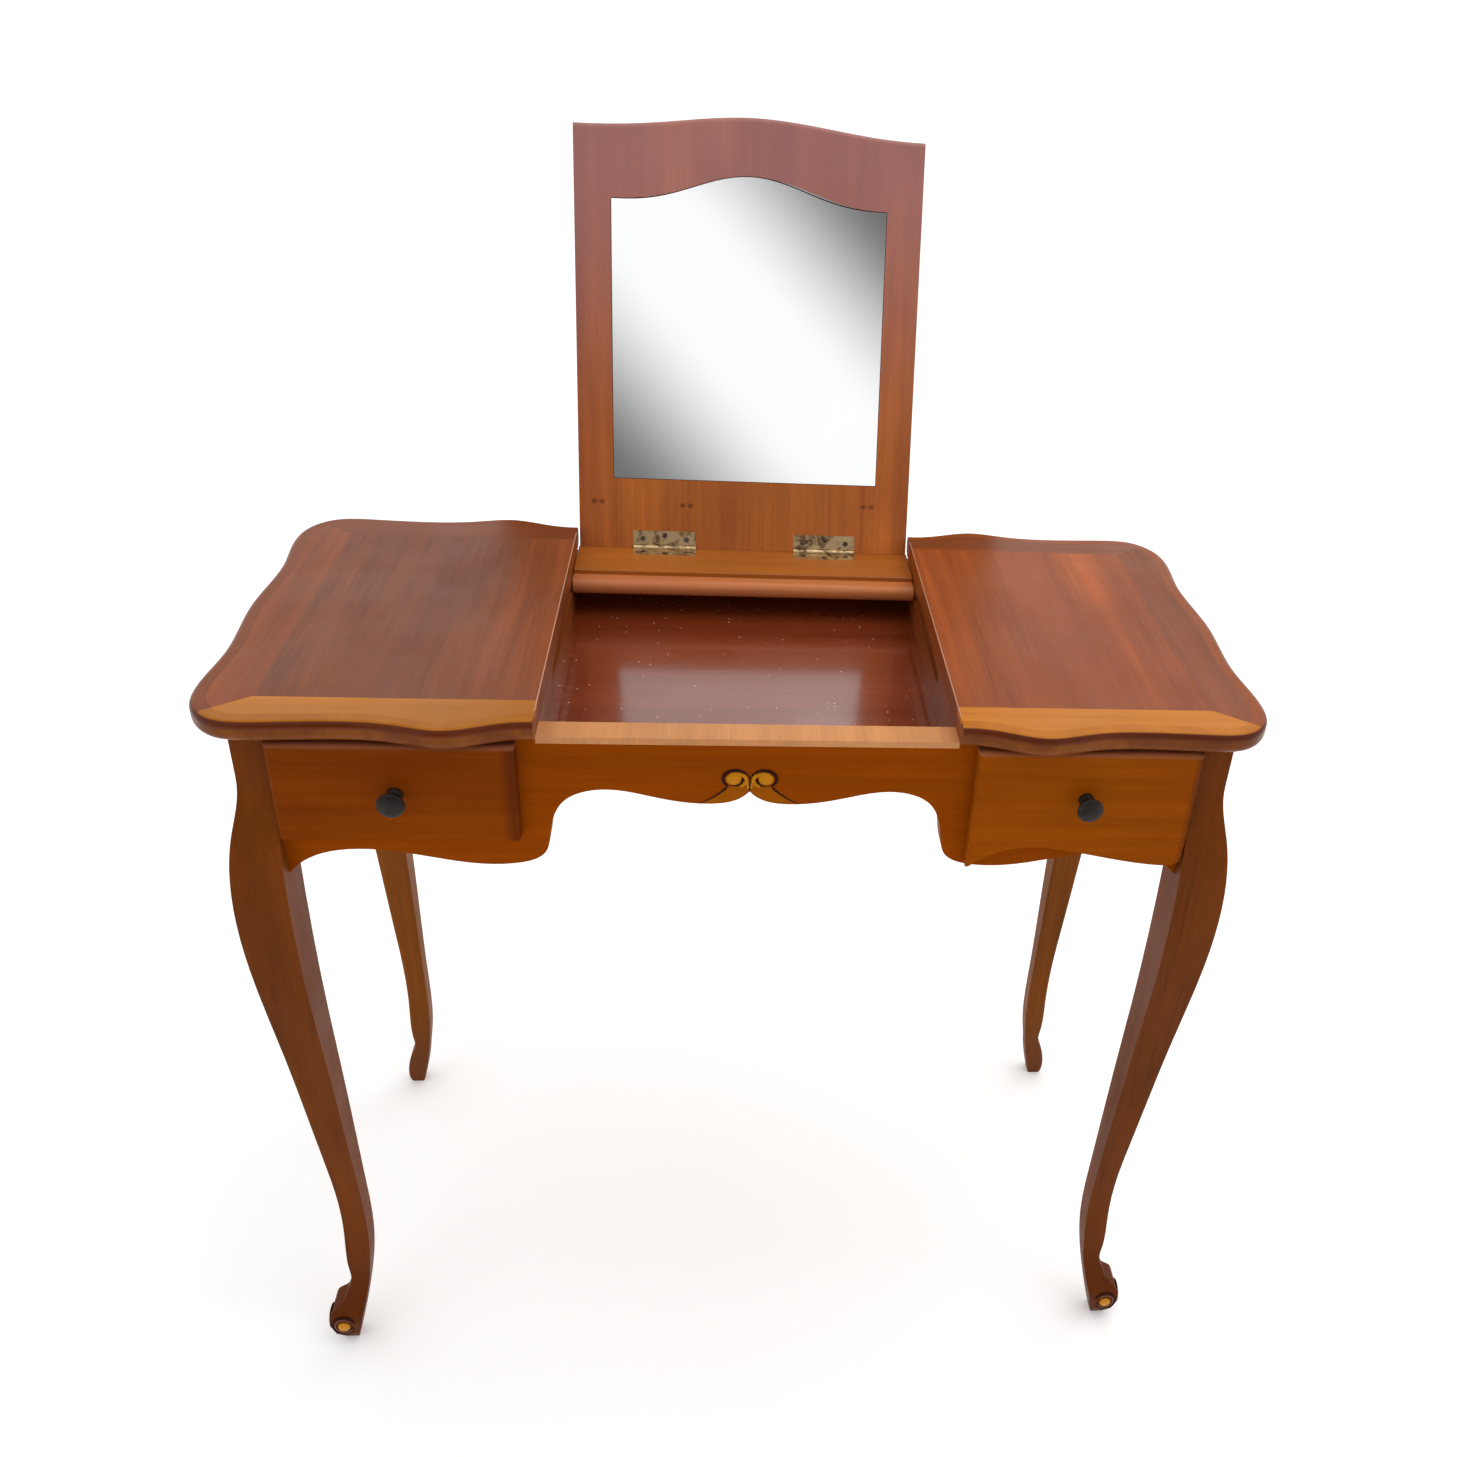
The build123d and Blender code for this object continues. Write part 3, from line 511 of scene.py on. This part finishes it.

# A painted shadow: a dark line where the glass meets the wood, most of it below the lid's face.
MIRROR_HALF, MIRROR_FOOT, MIRROR_SHOULDER, MIRROR_CROWN = 0.1335, 0.0697, 0.3337, 0.3592
CROWN_STEPS = 32
LINE_SUNK = 0.00055
outline = [(-MIRROR_HALF, MIRROR_SHOULDER), (-MIRROR_HALF, MIRROR_FOOT), (MIRROR_HALF, MIRROR_FOOT)]
for i in range(CROWN_STEPS + 1):
    x = MIRROR_HALF * (1 - 2 * i / CROWN_STEPS)
    swell = ((1 + math.cos(math.pi * x / MIRROR_HALF)) / 2) ** 1.4
    outline.append((x, MIRROR_SHOULDER + (MIRROR_CROWN - MIRROR_SHOULDER) * swell))
swept("mirror_edge_shadow", [Vector(lid_point(x, up)) + LINE_SUNK * INTO_LID for x, up in outline], 0.0006,
      painted_shade, "lid")


# ---------------------------------------------------------------- camera

CAMERA_PITCH, CAMERA_YAW, CAMERA_ROLL = (math.radians(a) for a in (31.56, 7.38, 4.49))


def camera_axes(pitch, yaw, roll):
    """The picture's right and up, and the way ahead."""
    ahead = Vector((math.sin(yaw) * math.cos(pitch), math.cos(yaw) * math.cos(pitch), -math.sin(pitch)))
    right = Vector((math.cos(yaw), -math.sin(yaw), 0))
    up = right.cross(ahead)
    return (math.cos(roll) * right + math.sin(roll) * up, math.cos(roll) * up - math.sin(roll) * right, ahead)


right, up, ahead = camera_axes(CAMERA_PITCH, CAMERA_YAW, CAMERA_ROLL)
camera_data = bpy.data.cameras.new("camera")
camera_data.sensor_width = 36
camera_data.lens = 33.91
camera_data.shift_x = -0.094
camera_data.shift_y = 0.0253
camera = bpy.data.objects.new("camera", camera_data)
camera.matrix_world = Matrix((right, up, -ahead)).transposed().to_4x4()
camera.location = (-0.029, PLAN_Y - 1.1385, 1.2954)
scene.collection.objects.link(camera)
scene.camera = camera


# ---------------------------------------------------------------- floor and light

def stage_plane(name, wide, high, material, place=(0, 0, 0), upright=False):
    """A flat card that isn't part of the object, lying flat or facing the front."""
    w, h = wide / 2, high / 2
    mesh = bpy.data.meshes.new(name)
    mesh.from_pydata([(-w, -h, 0), (w, -h, 0), (w, h, 0), (-w, h, 0)], [], [(0, 1, 2, 3)])
    mesh.materials.append(material)
    if upright:
        mesh.transform(Matrix.Rotation(math.radians(90), 4, "X"))
    plane = bpy.data.objects.new(name, mesh)
    plane.location = place
    scene.collection.objects.link(plane)
    return plane


def matt_paper(name, scale, low, high):
    """Paper whose tone wanders between two colours."""
    t = Tree(name)
    t.put(t.shader.inputs["Base Color"], t.mix(t.noise(t.place, scale), low, high))
    t.shader.inputs["Roughness"].default_value = 0.9
    return t


PAPER_WHITE = (0.97, 0.97, 0.97)
paper = matt_paper("floor_paper", 3.0, PAPER_WHITE, tone(PAPER_WHITE, 0.985))
paper.shader.inputs["Specular IOR Level"].default_value = 0.0
paper.shader.inputs["Emission Color"].default_value = (1, 1, 1, 1)
paper.shader.inputs["Emission Strength"].default_value = 0.14
stage_plane("floor", 80, 80, paper.material)

# Beside the open lid the polished tray reflects something darker than the paper.
SHADE_X, SHADE_Z, SHADE_HIGH = 0.169, 1.0, 0.5
dim = matt_paper("dim_paper", 5.0, (0.16, 0.05, 0.02), (0.20, 0.06, 0.03))
for side, label, reach in ((-1, "left", 0.092), (1, "right", 0.115)):
    shade = stage_plane(f"side_shade_{label}", reach, SHADE_HIGH, dim.material, upright=True,
                        place=(side * (SHADE_X + reach / 2), LID_HIGH.y - 0.02, SHADE_Z))
    for ray in ("camera", "diffuse", "shadow", "transmission"):
        setattr(shade, f"visible_{ray}", False)

# What the mirror shows: a glowing card, unseen by the camera, whose glow is a painted reflection of a pale
# wall with light falling across it, grey in two corners.
WALL_Y, WALL_SIZE = -2.4, 2.6
CORNER_UP = 0.345                             # the mirror's upper corners, for the card's pattern


def seen_in_mirror(x, up):
    """Where the camera's line of sight to a point of the mirror meets the wall, after the mirror."""
    point = Vector(lid_point(x, up))
    ray = point - camera.location
    ray = ray - 2 * ray.dot(INTO_LID) * INTO_LID
    return point + ray * ((WALL_Y - point.y) / ray.y)


low_left, low_right = seen_in_mirror(-MIRROR_HALF, MIRROR_FOOT), seen_in_mirror(MIRROR_HALF, MIRROR_FOOT)
high_left, high_right = seen_in_mirror(-MIRROR_HALF, CORNER_UP), seen_in_mirror(MIRROR_HALF, CORNER_UP)
fall = low_right - high_left
across = Vector((-fall.z, 0, fall.x)).normalized()
across = across / abs(across.dot(high_right - low_left) / 2)      # 1 at the two grey corners
reflection_glow = Tree("painted_mirror_reflection")
from_middle = reflection_glow.math("ABSOLUTE", reflection_glow.vector("DOT_PRODUCT", reflection_glow.place, across))
emission = reflection_glow.nodes.new("ShaderNodeEmission")
reflection_glow.put(emission.inputs["Strength"], reflection_glow.between(from_middle, 0.15, 0.98, 1.04, 0.17))
reflection_glow.put(reflection_glow.nodes["Material Output"].inputs["Surface"], emission.outputs[0])
wall = stage_plane("painted_mirror_reflection", WALL_SIZE, WALL_SIZE, reflection_glow.material, upright=True,
                   place=(low_left + low_right + high_left + high_right) / 4)
wall.visible_camera = False

overhead = bpy.data.lights.new("overhead", "AREA")
overhead.shape = "RECTANGLE"
overhead.size, overhead.size_y = 2.4, 2.0
overhead.energy = 22
lamp = bpy.data.objects.new("overhead", overhead)
lamp.location = (0.9, 0.2, 3.0)
lamp.rotation_euler = (Vector((0, 0, 0.5)) - lamp.location).to_track_quat("-Z", "Y").to_euler()
scene.collection.objects.link(lamp)

world = bpy.data.worlds.new("studio")
world.use_nodes = True
scene.world = world
background = world.node_tree.nodes["Background"]
background.inputs["Color"].default_value = (1.0, 1.0, 1.0, 1)
background.inputs["Strength"].default_value = 1.03
